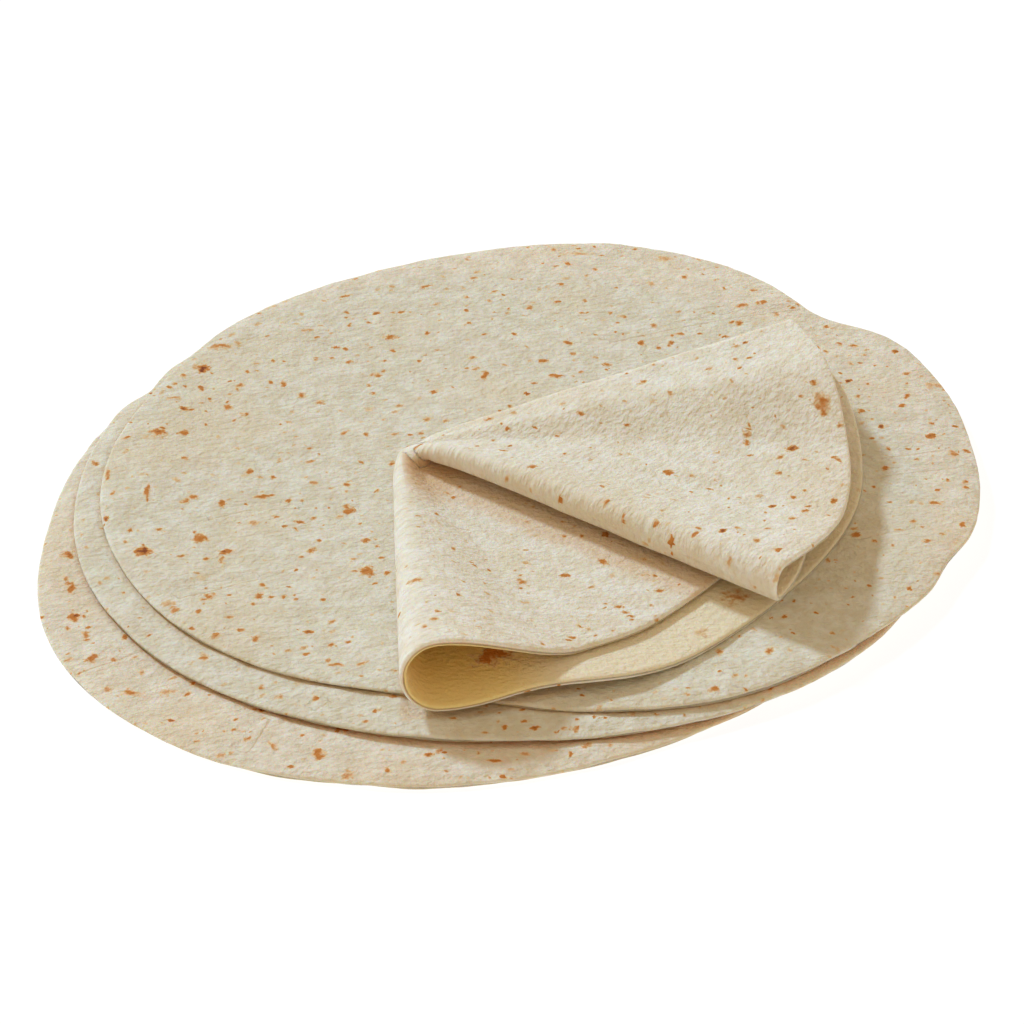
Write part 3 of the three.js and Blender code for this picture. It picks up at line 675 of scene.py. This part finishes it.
def add_marks(name, points, faces, values):
    """Keeps at each point its place in the nearest toast mark, that mark's heat, and nearby creases."""
    metres = ((points - STACK_MIDDLE) * MM).tolist()
    tree = BVHTree.FromPolygons(metres, faces.tolist())
    sheet = values["sheet"] / MM
    best = np.full(len(points), 99.0)
    mark = np.tile(np.array(NO_MARK), (len(points), 1))
    heat = np.zeros(len(points))
    small = [
        (across, down, width, SMALL_MARK_DEPTH * width, SMALL_MARK_HEAT, 0)
        for across, down, width in SMALL_MARKS[name]
    ]
    for across, down, width, depth, strength, turn in TOAST_MARKS[name] + small:
        place, nearest = seen_point(tree, points, faces, across, down)
        if place is None:
            print("no bread under mark", name, across, down)
            continue
        away = np.linalg.norm(sheet - sheet[nearest], axis=1)
        close = np.nonzero(away < 3.2 * max(width, depth) + 3)[0]
        dx = points[close, 0] - place[0]
        dy = points[close, 1] - place[1]
        cos_turn = math.cos(math.radians(turn))
        sin_turn = math.sin(math.radians(turn))
        q_x = (dx * cos_turn + dy * sin_turn) / (width / 2)
        q_y = (-dx * sin_turn + dy * cos_turn) / (depth / 2)
        steep = np.linalg.norm(points[close] - place, axis=1) / np.maximum(np.hypot(dx, dy), 0.01)
        q_x = q_x * np.minimum(steep, 6)
        q_y = q_y * np.minimum(steep, 6)
        distance = np.hypot(q_x, q_y)
        nearer = distance < best[close]
        chosen = close[nearer]
        best[chosen] = distance[nearer]
        heat[chosen] = strength
        mark[chosen] = np.where(
            (distance[nearer] < MARK_EDGE)[:, None],
            np.stack([q_x[nearer], q_y[nearer], np.zeros(nearer.sum())], 1),
            np.array(NO_MARK),
        )
    crease = np.zeros((len(points), 3))
    crease[:, 0] = CREASE_REACH
    for path in CREASES[name]:
        found = [seen_point(tree, points, faces, across, down)[0] for across, down in path]
        found = [place for place in found if place is not None]
        for first, second in zip(found, found[1:]):
            along = (second - first)[:2]
            length = np.linalg.norm(along)
            along = along / length
            offset = points[:, :2] - first[:2]
            way = offset @ along
            aside = offset[:, 0] * along[1] - offset[:, 1] * along[0]
            inside = (way > -0.5) & (way < length + 0.5) & (np.abs(aside) < CREASE_REACH)
            inside &= values["inner"] < 0.5
            crease[inside, 0] = aside[inside]
            crease[inside, 1] = 1.0
    values["mark"] = mark
    values["browning"] = heat
    values["crease"] = crease


# ---- Nodes


def add(tree, kind, inputs=None, **settings):
    """Adds one node, with its settings and with each input's value or link."""
    node = tree.nodes.new(kind)
    for title, value in settings.items():
        setattr(node, title, value)
    for title, value in (inputs or {}).items():
        if isinstance(value, bpy.types.NodeSocket):
            tree.links.new(value, node.inputs[title])
        else:
            node.inputs[title].default_value = value
    return node


def calc(tree, operation, *values):
    node = add(tree, "ShaderNodeMath", dict(enumerate(values)), operation=operation)
    return node.outputs[0]


def vector(tree, operation, *values):
    node = add(tree, "ShaderNodeVectorMath", dict(enumerate(values)), operation=operation)
    return node.outputs["Value" if operation in ("LENGTH", "DISTANCE", "DOT_PRODUCT") else "Vector"]


def scaled(tree, socket, factor):
    node = add(tree, "ShaderNodeVectorMath", {0: socket, "Scale": factor}, operation="SCALE")
    return node.outputs["Vector"]


def between(tree, socket, low, high, to_low=0.0, to_high=1.0):
    """A smooth step of a value from one level to another."""
    node = add(
        tree, "ShaderNodeMapRange",
        {"Value": socket, "From Min": low, "From Max": high, "To Min": to_low, "To Max": to_high},
        interpolation_type="SMOOTHSTEP",
    )
    return node.outputs["Result"]


def noise(tree, place, size, detail=2.0, roughness=0.5, colour=False):
    """Cloudy noise whose lumps are about size millimetres across."""
    node = add(
        tree, "ShaderNodeTexNoise",
        {"Vector": place, "Scale": 1 / size, "Detail": detail, "Roughness": roughness},
        noise_dimensions="2D",
    )
    return node.outputs[1 if colour else 0]


def blend(tree, share, first, second):
    node = add(tree, "ShaderNodeMix", data_type="RGBA")
    for socket, value in zip((node.inputs[0], node.inputs[6], node.inputs[7]), (share, first, second)):
        if isinstance(value, bpy.types.NodeSocket):
            tree.links.new(value, socket)
        else:
            socket.default_value = value
    return node.outputs[2]


# ---- Baked relief


RELIEF_SIZES = [
    ("Crumple Height", 0.8 * MM),
    ("Crumple Length", 26.0),
    ("Pebble Height", 0.3 * MM),
    ("Pebble Size", 3.8),
    ("Blister Height", 0.14 * MM),
]


def relief_tree():
    """Geometry nodes that crumple a skin gently and raise its pebbles and toasted blisters."""
    tree = bpy.data.node_groups.new("baked_relief", "GeometryNodeTree")
    tree.interface.new_socket("Geometry", in_out="INPUT", socket_type="NodeSocketGeometry")
    inputs = {}
    for title, size in RELIEF_SIZES:
        socket = tree.interface.new_socket(title, in_out="INPUT", socket_type="NodeSocketFloat")
        socket.default_value = size
        inputs[title] = socket.identifier
    seed = tree.interface.new_socket("Seed", in_out="INPUT", socket_type="NodeSocketFloat")
    inputs["Seed"] = seed.identifier
    bread = tree.interface.new_socket("Bread", in_out="INPUT", socket_type="NodeSocketMaterial")
    inputs["Bread"] = bread.identifier
    tree.interface.new_socket("Geometry", in_out="OUTPUT", socket_type="NodeSocketGeometry")
    given = add(tree, "NodeGroupInput")

    def kept(title, data_type):
        return add(tree, "GeometryNodeInputNamedAttribute", {"Name": title}, data_type=data_type).outputs[0]

    place = scaled(tree, kept("sheet", "FLOAT_VECTOR"), 1 / MM)
    place = add(
        tree, "ShaderNodeCombineXYZ",
        {
            "X": add(tree, "ShaderNodeSeparateXYZ", {0: place}).outputs[0],
            "Y": add(tree, "ShaderNodeSeparateXYZ", {0: place}).outputs[1],
            "Z": given.outputs["Seed"],
        },
    ).outputs[0]

    def lumps(size, detail):
        return add(
            tree, "ShaderNodeTexNoise",
            {"Vector": place, "Scale": calc(tree, "DIVIDE", 1.0, size), "Detail": detail},
            noise_dimensions="3D",
        ).outputs[0]

    crumple = between(tree, lumps(given.outputs["Crumple Length"], 2.0), 0.35, 0.75)
    crumple = calc(tree, "MULTIPLY", crumple, given.outputs["Crumple Height"])
    lift = scaled(tree, kept("lift", "FLOAT_VECTOR"), crumple)
    pebble = calc(tree, "SUBTRACT", lumps(given.outputs["Pebble Size"], 2.0), 0.5)
    pebble = calc(tree, "MULTIPLY", pebble, given.outputs["Pebble Height"])
    in_mark = vector(tree, "LENGTH", kept("mark", "FLOAT_VECTOR"))
    blister = calc(tree, "MULTIPLY", between(tree, in_mark, 1.5, 0.2), given.outputs["Blister Height"])
    raised = calc(tree, "MULTIPLY", calc(tree, "ADD", pebble, blister), kept("relief", "FLOAT"))
    normal = add(tree, "GeometryNodeInputNormal").outputs[0]
    offset = vector(tree, "ADD", lift, scaled(tree, normal, raised))
    moved = add(tree, "GeometryNodeSetPosition", {"Geometry": given.outputs["Geometry"], "Offset": offset})
    smooth = add(tree, "GeometryNodeSetShadeSmooth", {"Geometry": moved.outputs[0], "Shade Smooth": True})
    real = add(tree, "GeometryNodeRealizeInstances", {"Geometry": smooth.outputs[0]})
    dressed = add(
        tree, "GeometryNodeSetMaterial", {"Geometry": real.outputs[0], "Material": given.outputs["Bread"]}
    )
    add(tree, "NodeGroupOutput", {0: dressed.outputs[0]})
    return tree, inputs


def bake(name, mesh, tree, inputs, bread, seed, **sizes):
    """Runs the relief nodes over a skin and keeps the result as a plain mesh."""
    piece = bpy.data.objects.new(name, mesh)
    show(piece)
    modifier = piece.modifiers.new("relief", "NODES")
    modifier.node_group = tree
    for title, size in RELIEF_SIZES:
        modifier[inputs[title]] = float(sizes.get(title.replace(" ", "_").lower(), size))
    modifier[inputs["Seed"]] = float(seed)
    modifier[inputs["Bread"]] = bread
    graph = bpy.context.evaluated_depsgraph_get()
    baked = bpy.data.meshes.new_from_object(
        piece.evaluated_get(graph), preserve_all_data_layers=True, depsgraph=graph
    )
    piece.modifiers.remove(modifier)
    piece.data = baked
    baked.name = name
    return piece


# ---- Bread colours


CREAM = (0.745, 0.685, 0.55, 1)
PALE_CREAM = (0.825, 0.785, 0.68, 1)
WARM_CREAM = (0.78, 0.65, 0.45, 1)
FOLDED_CREAM = (0.84, 0.765, 0.63, 1)
FOLDED_PALE = (0.91, 0.86, 0.77, 1)
INNER_CREAM = (0.90, 0.77, 0.55, 1)
# Painted shade: the warm ochre of the loop's shaded inside
INNER_PAINTED_SHADE = (1.0, 0.77, 0.33, 1)
# Painted shade: the ochre of shaded nooks, the flap's shadow and contact lines
PAINTED_SHADE_OCHRE = (0.76, 0.48, 0.25, 1)
HALO = (0.80, 0.60, 0.36, 1)
TOAST = (0.60, 0.225, 0.04, 1)
DARK_TOAST = (0.25, 0.055, 0.008, 1)

# Fleck layers: spacing, share of spots used, smallest and largest half width, lowest and highest heat
FLECKS = [
    {"spacing": 12.5, "share": 0.25, "half": (0.9, 1.9), "heat": (0.4, 0.85), "shift": (3.1, 6.2, 0.0)},
    {"spacing": 7.2, "share": 0.40, "half": (0.7, 1.25), "heat": (0.35, 0.75), "shift": (17.7, 35.4, 0.0)},
    {"spacing": 4.1, "share": 0.28, "half": (0.4, 0.8), "heat": (0.2, 0.5), "shift": (41.3, 82.6, 0.0)},
]


def fleck_layer(tree, place, ragged, layer, thin):
    """Toast flecks scattered over the sheet: each has its own size, lean and heat."""
    shifted = vector(tree, "ADD", place, layer["shift"])
    cells = add(
        tree, "ShaderNodeTexVoronoi",
        {"Vector": shifted, "Scale": 1 / layer["spacing"], "Randomness": 0.95},
        voronoi_dimensions="2D", feature="F1",
    )
    chance = add(tree, "ShaderNodeSeparateColor", {0: cells.outputs["Color"]})
    offset = vector(tree, "SUBTRACT", shifted, cells.outputs["Position"])
    turned = add(
        tree, "ShaderNodeVectorRotate",
        {"Vector": offset, "Angle": calc(tree, "MULTIPLY", chance.outputs[0], 2 * math.pi)},
        rotation_type="Z_AXIS",
    ).outputs[0]
    squeezed = vector(tree, "MULTIPLY", turned, (0.85, 1.35, 0.0))
    low, high = layer["half"]
    half = calc(tree, "MULTIPLY_ADD", calc(tree, "POWER", chance.outputs[0], 1.6), high - low, low)
    uneven = vector(tree, "ADD", squeezed, scaled(tree, ragged, half))
    distance = calc(tree, "DIVIDE", vector(tree, "LENGTH", uneven), half)
    body = between(tree, distance, 1.5, 0.2)
    used = calc(tree, "LESS_THAN", chance.outputs[1], layer["share"] * thin)
    low, high = layer["heat"]
    heat = calc(tree, "MULTIPLY_ADD", chance.outputs[2], high - low, low)
    return calc(tree, "MULTIPLY", calc(tree, "MULTIPLY", body, used), heat)


def bread_material(name, cream, pale, thin, grain_turn):
    """Baked dough: mottled cream, toast flecks, painted shade in nooks, creases and the loop's inside, soft
    pebbled relief and a little light let through.
    """
    bread = bpy.data.materials.new(name)
    bread.use_nodes = True
    tree = bread.node_tree
    tree.nodes.clear()

    def kept(title, output):
        node = add(tree, "ShaderNodeAttribute", attribute_name=title, attribute_type="GEOMETRY")
        return node.outputs[output]

    place = scaled(tree, kept("sheet", "Vector"), 1 / MM)
    inner = kept("inner", "Fac")
    ragged = vector(tree, "SUBTRACT", noise(tree, place, 1.1, 1.0, 0.6, colour=True), (0.5, 0.5, 0.5))
    ragged = scaled(tree, ragged, 1.25)

    # Toast
    toast = [fleck_layer(tree, place, ragged, layer, thin) for layer in FLECKS]
    patchy = between(tree, noise(tree, place, 34, 0.0), 0.30, 0.60, 0.55, 1.1)
    flecks = calc(tree, "MAXIMUM", calc(tree, "MAXIMUM", toast[0], toast[1]), toast[2])
    flecks = calc(tree, "MULTIPLY", flecks, patchy)
    flecks = calc(tree, "MULTIPLY", flecks, calc(tree, "MULTIPLY_ADD", inner, -0.8, 1.0))
    lobed = vector(tree, "SUBTRACT", noise(tree, place, 3.4, 1.0, 0.65, colour=True), (0.5, 0.5, 0.5))
    mark = vector(tree, "ADD", kept("mark", "Vector"), scaled(tree, ragged, 0.6))
    mark = vector(tree, "ADD", mark, scaled(tree, lobed, 1.9))
    shape = between(tree, vector(tree, "LENGTH", mark), 1.5, 0.25)
    marks = calc(tree, "MULTIPLY", shape, kept("browning", "Fac"))
    heat = calc(tree, "MAXIMUM", flecks, marks)
    cloud = noise(tree, place, 6.5, 2.0, 0.65)
    heat = calc(tree, "MULTIPLY", heat, between(tree, cloud, 0.3, 0.7, 0.8, 1.15))

    # Dough
    broad = noise(tree, place, 46, 0.0)
    grain_place = add(
        tree, "ShaderNodeMapping",
        {"Vector": place, "Rotation": (0.0, 0.0, math.radians(-grain_turn)), "Scale": (0.8, 1.0, 1.0)},
    ).outputs[0]
    grain = noise(tree, grain_place, 1.7, 2.0, 0.55)
    dough = blend(tree, between(tree, cloud, 0.36, 0.66), cream, pale)
    dough = blend(tree, between(tree, broad, 0.5, 0.75, 0.0, 0.35), dough, WARM_CREAM)
    dough = blend(tree, between(tree, grain, 0.5, 0.3, 0.0, 0.3), dough, WARM_CREAM)
    # Painted shade: ochre tint in the nooks, under the flap, inside the loop and along contact lines
    nook = kept("nook", "Fac")
    inside = blend(tree, between(tree, nook, 0.15, 0.9), INNER_CREAM, INNER_PAINTED_SHADE)
    dough = blend(tree, calc(tree, "MULTIPLY", nook, 0.8), dough, PAINTED_SHADE_OCHRE)
    dough = blend(tree, calc(tree, "MULTIPLY", inner, 0.85), dough, inside)
    crease = add(tree, "ShaderNodeSeparateXYZ", {0: kept("crease", "Vector")})
    waver = calc(tree, "MULTIPLY", calc(tree, "SUBTRACT", grain, 0.5), 1.2)
    bend = calc(tree, "ADD", crease.outputs[0], waver)
    groove = calc(tree, "MULTIPLY", between(tree, calc(tree, "ABSOLUTE", bend), 0.6, 0.05), crease.outputs[1])
    # Painted shade: the dough is darkened along the creases, which the bump also grooves
    dough = blend(tree, calc(tree, "MULTIPLY", groove, 0.3), dough, HALO)

    colour = blend(tree, between(tree, heat, 0.02, 0.28), dough, HALO)
    colour = blend(tree, between(tree, heat, 0.2, 0.55), colour, TOAST)
    colour = blend(tree, between(tree, heat, 0.66, 1.0), colour, DARK_TOAST)

    # Relief finer than the skin's own
    height = calc(tree, "MULTIPLY_ADD", groove, -0.2, calc(tree, "MULTIPLY", grain, 0.7))
    bump = add(tree, "ShaderNodeBump", {"Height": height, "Strength": 1.0, "Distance": MM})

    shader = add(
        tree, "ShaderNodeBsdfPrincipled",
        {
            "Base Color": colour,
            "Roughness": between(tree, heat, 0.1, 0.8, 0.8, 0.62),
            "Normal": bump.outputs[0],
            "Subsurface Weight": 0.3,
            "Subsurface Radius": (1.0, 0.55, 0.18),
            "Subsurface Scale": 3.2 * MM,
            "Specular IOR Level": 0.25,
        },
    )
    add(tree, "ShaderNodeOutputMaterial", {"Surface": shader.outputs[0]})
    return bread


# ---- Pieces


def knuckle_middle():
    bisector = (LEFT_FOLD + REAR_FOLD) / 2
    inward = (KNUCKLE_RADIUS - THICKNESS / 2) / math.sin(math.radians((REAR_FOLD - LEFT_FOLD) / 2))
    middle = np.array([*CORNER, 0]) + heading(bisector) * inward
    middle[2] = 3 * LAYER + KNUCKLE_HEIGHT / 2 + swell(middle[0], middle[1])
    return middle


def knuckle_drum():
    """Closes the folded round's corner with a rounded knuckle as high as its four layers."""
    half = KNUCKLE_HEIGHT / 2
    middle = knuckle_middle()
    steps = KNUCKLE_STEPS
    sides = KNUCKLE_SIDES
    rows = []
    for step in range(steps + 1):
        height = -math.cos(math.pi * step / steps)
        out = max(0.0, 1 - abs(height) ** KNUCKLE_SQUARENESS["up"]) ** (1 / KNUCKLE_SQUARENESS["out"])
        count = 1 if step in (0, steps) else sides
        turn = 2 * np.pi * np.arange(count) / count
        radius = KNUCKLE_RADIUS * out
        row = np.stack([radius * np.cos(turn), radius * np.sin(turn), np.full(count, half * height)], 1)
        rows.append(middle + row)
    drum = np.concatenate(rows)
    around = 1 + sides * np.arange(steps - 1)[:, None] + np.arange(sides)[None]
    quads = np.stack([around[:-1], np.roll(around[:-1], -1, 1), np.roll(around[1:], -1, 1), around[1:]], 2)
    fans = [[0, (side + 1) % sides + 1, side + 1] for side in range(sides)]
    last = len(drum) - 1
    fans += [[last, around[-1, side], around[-1, (side + 1) % sides]] for side in range(sides)]
    return drum, quads.reshape(-1, 4).tolist() + fans


def melt(mesh):
    """Draws the skin tight round the corner, where the dough has set together.

    Each point near the corner settles between its own place and the pull of its neighbours.
    """
    place = np.empty(len(mesh.vertices) * 3)
    mesh.vertices.foreach_get("co", place)
    place = place.reshape(-1, 3) / MM + STACK_MIDDLE
    mesh.calc_loop_triangles()
    triangles = np.empty(len(mesh.loop_triangles) * 3, dtype=np.int32)
    mesh.loop_triangles.foreach_get("vertices", triangles)
    triangles = triangles.reshape(-1, 3)
    away = np.linalg.norm((place - knuckle_middle()) * (1, 1, 0.8), axis=1)
    triangles = triangles[(away[triangles] < MELT_REACH).any(axis=1)]
    count = len(place)
    hold = np.zeros(count)
    first, second, pull = [], [], []
    for turn in range(3):
        apex, left, right = np.roll(triangles, turn, axis=1).T
        to_left = place[left] - place[apex]
        to_right = place[right] - place[apex]
        area = np.linalg.norm(np.cross(to_left, to_right), axis=1)
        cotangent = np.clip((to_left * to_right).sum(1) / np.maximum(area, 1e-6), 0.02, 30) / 2
        hold += np.bincount(apex, area / 6, count)
        first += [left, right]
        second += [right, left]
        pull += [cotangent, cotangent]
    first, second, pull = np.concatenate(first), np.concatenate(second), np.concatenate(pull)
    hold = hold / MELT_LENGTH**2 * np.exp(7 * ease((away - MELT_CORE) / (MELT_REACH - MELT_CORE)))
    free = away < MELT_REACH
    total = hold + np.bincount(first, pull, count)
    total[~free] = 1

    def drag(moved):
        pulled = np.stack([np.bincount(first, pull * moved[second, axis], count) for axis in range(3)], 1)
        return (total[:, None] * moved - pulled) * free[:, None]

    moved = place.copy()
    rest = hold[:, None] * place * free[:, None] - drag(moved)
    guess = rest / total[:, None]
    way = guess.copy()
    size = (rest * guess).sum()
    for _ in range(MELT_TURNS):
        dragged = drag(way)
        step = size / (way * dragged).sum()
        moved += step * way
        rest -= step * dragged
        guess = rest / total[:, None]
        old_size, size = size, (rest * guess).sum()
        way = guess + way * (size / old_size)
        if size < 1e-9:
            break
    mesh.vertices.foreach_set("co", ((moved - STACK_MIDDLE) * MM).astype(np.float32).ravel())
    mesh.update()


def folded_piece(tree, inputs, bread):
    points, faces, values = folded_round_mesh()
    add_marks("folded_round", points, faces, values)
    sheet = bpy.data.objects.new("sheet", mesh_of("sheet", points, faces.tolist(), values))
    drum_points, drum_faces = knuckle_drum()
    count = len(drum_points)
    beside = drum_points - knuckle_middle()
    facing = beside @ np.array([*heading((LEFT_FOLD + FRONT_FOLD) / 2)[:2], 0]) / KNUCKLE_RADIUS
    drum_values = {
        "sheet": np.stack([
            drum_points[:, 0] - CORNER[0] + 1600, drum_points[:, 1] - CORNER[1], drum_points[:, 2],
        ], 1) * MM,
        "lift": np.zeros((count, 3)),
        "relief": np.zeros(count),
        "inner": np.zeros(count),
        # Painted shade on the knuckle's lower side, which faces away from the lamp
        "nook": ease(facing * 2.5 - 0.6) * (1 - ease(beside[:, 2] / KNUCKLE_HEIGHT * 4 - 0.6)),
        "mark": np.tile(np.array(NO_MARK), (count, 1)),
        "browning": np.zeros(count),
        "crease": np.tile(np.array([CREASE_REACH, 0.0, 0.0]), (count, 1)),
    }
    drum = bpy.data.objects.new("knuckle", mesh_of("knuckle", drum_points, drum_faces, drum_values))
    for piece in (sheet, drum):
        show(piece)
    join = sheet.modifiers.new("join", "BOOLEAN")
    join.operation = "UNION"
    join.solver = "MANIFOLD"
    join.object = drum
    graph = bpy.context.evaluated_depsgraph_get()
    joined = bpy.data.meshes.new_from_object(
        sheet.evaluated_get(graph), preserve_all_data_layers=True, depsgraph=graph
    )
    for piece in (sheet, drum):
        bpy.data.objects.remove(piece)
    melt(joined)
    return bake("folded_round", joined, tree, inputs, bread, FOLDED_SEED, pebble_height=0.18 * MM)


def light_and_eye():
    sun = bpy.data.lights.new("window", "SUN")
    sun.energy = LIGHT_STRENGTH
    sun.angle = math.radians(LIGHT_WIDTH)
    sun.color = LIGHT_COLOUR
    lamp = bpy.data.objects.new("window", sun)
    height = math.radians(LIGHT_HEIGHT)
    towards = Vector(heading(LIGHT_SIDE)) * math.cos(height) + Vector((0, 0, math.sin(height)))
    lamp.rotation_mode = "QUATERNION"
    lamp.rotation_quaternion = towards.to_track_quat("Z", "Y")
    show(lamp)

    world = bpy.data.worlds.new("studio")
    world.use_nodes = True
    back = world.node_tree.nodes["Background"]
    back.inputs["Color"].default_value = ROOM_COLOUR
    back.inputs["Strength"].default_value = ROOM_STRENGTH
    bpy.context.scene.world = world

    floor_mesh = bpy.data.meshes.new("table")
    corners = [(-1, -1), (1, -1), (1, 1), (-1, 1)]
    floor_mesh.from_pydata([(TABLE_REACH * x, TABLE_REACH * y, 0) for x, y in corners], [], [(0, 1, 2, 3)])
    floor = bpy.data.objects.new("table", floor_mesh)
    table = bpy.data.materials.new("white_table")
    table.use_nodes = True
    shader = table.node_tree.nodes["Principled BSDF"]
    shader.inputs["Base Color"].default_value = TABLE_GREY
    shader.inputs["Roughness"].default_value = 0.9
    shader.inputs["Emission Color"].default_value = (1, 1, 1, 1)
    shader.inputs["Emission Strength"].default_value = TABLE_GLOW
    floor_mesh.materials.append(table)
    show(floor)

    camera = bpy.data.cameras.new("eye")
    camera.sensor_width = SENSOR_WIDTH
    camera.lens = FOCAL_PIXELS / PHOTO_SIZE * SENSOR_WIDTH
    camera.clip_end = 20
    eye = bpy.data.objects.new("eye", camera)
    eye.location = EYE
    eye.rotation_mode = "QUATERNION"
    eye.rotation_quaternion = (EYE - AIM).to_track_quat("Z", "Y")
    show(eye)
    bpy.context.scene.camera = eye
    bpy.context.scene.view_settings.view_transform = "Standard"


def main():
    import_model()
    tree, inputs = relief_tree()
    flat_bread = bread_material("flat_bread", CREAM, PALE_CREAM, 1.0, 21)
    folded_bread = bread_material("folded_bread", FOLDED_CREAM, FOLDED_PALE, 0.72, 0)
    for level, (name, bread) in enumerate(FLAT_ROUNDS.items()):
        points, faces, values = flat_round_mesh(name, level)
        add_marks(name, points, faces, values)
        mesh = mesh_of(name, points, faces.tolist(), values)
        piece = bake(name, mesh, tree, inputs, flat_bread, FLAT_SEED + level)
        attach(piece, "root")
        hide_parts(bread["node"])
    piece = folded_piece(tree, inputs, folded_bread)
    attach(piece, "root")
    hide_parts("tortilla_folded")
    light_and_eye()
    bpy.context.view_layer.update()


main()
